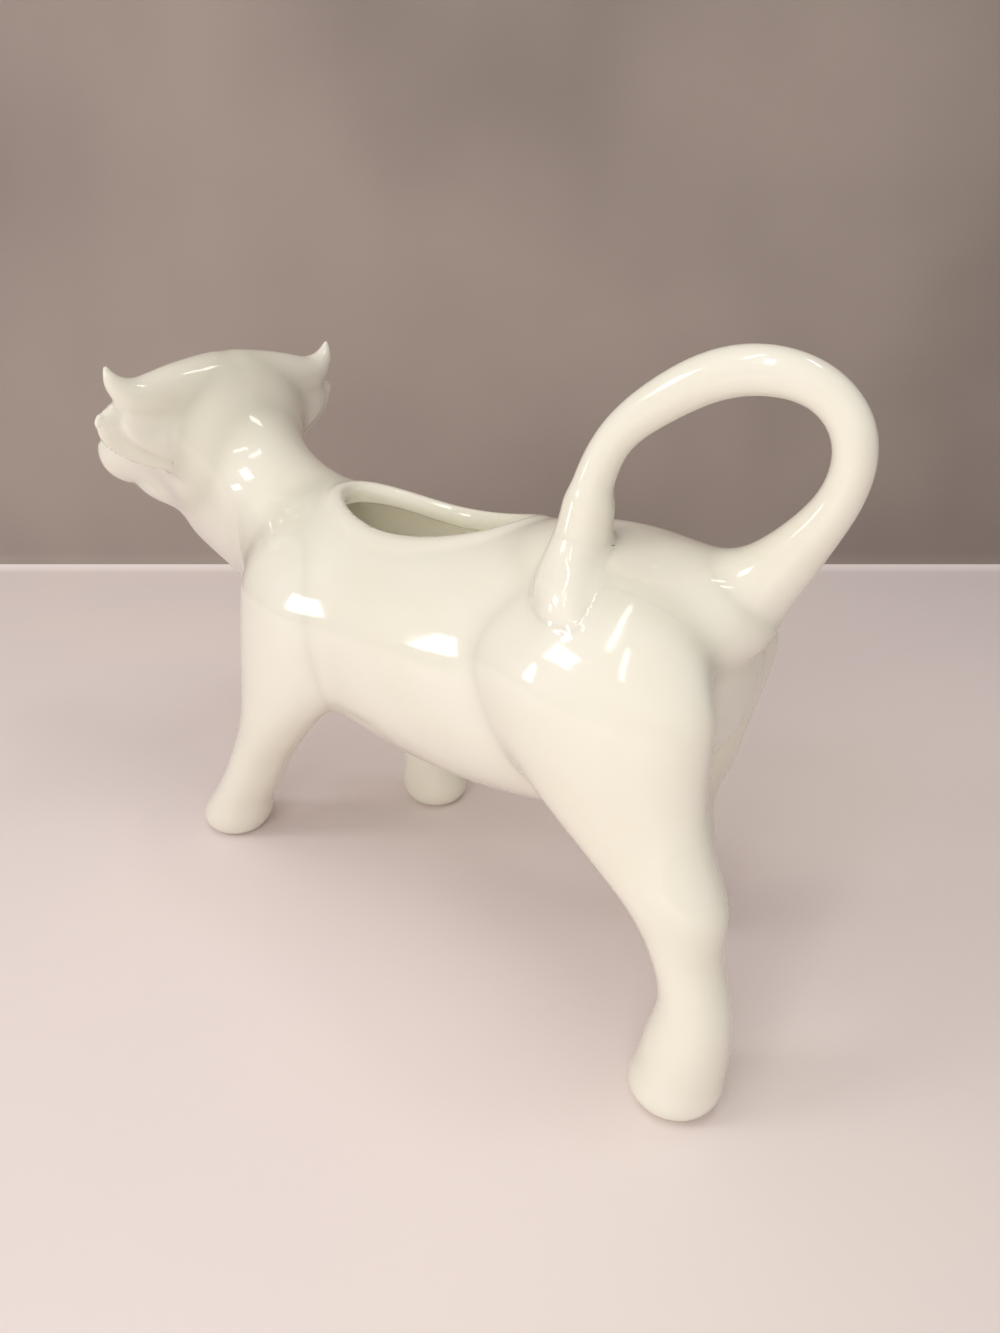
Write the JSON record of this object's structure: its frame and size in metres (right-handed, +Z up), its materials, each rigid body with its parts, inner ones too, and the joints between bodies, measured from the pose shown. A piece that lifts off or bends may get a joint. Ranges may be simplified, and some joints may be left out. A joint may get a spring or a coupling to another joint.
{
  "type": "cow creamer",
  "caption": "Hollow porcelain milk jug shaped as a walking cow, filled through an oval hole in its back and poured from its mouth, with the looped tail as its handle.",
  "frame": {"origin": "on the table, under the middle of the whole piece's box", "axes": "+X towards the cow's head, +Y to its left, +Z up"},
  "size_m": [0.1828, 0.056, 0.1105],
  "materials": {
    "white_glaze": "glossy clear glaze over white porcelain"
  },
  "bodies": {
    "root": {"body_shell": "white_glaze", "head_and_neck": "white_glaze", "horn_left": "white_glaze", "horn_right": "white_glaze", "ear_left": "white_glaze", "ear_right": "white_glaze", "tail_handle": "white_glaze", "tail_tuft": "white_glaze", "leg_front_left": "white_glaze", "leg_front_right": "white_glaze", "leg_rear_left": "white_glaze", "leg_rear_right": "white_glaze"}
  },
  "joints": []
}
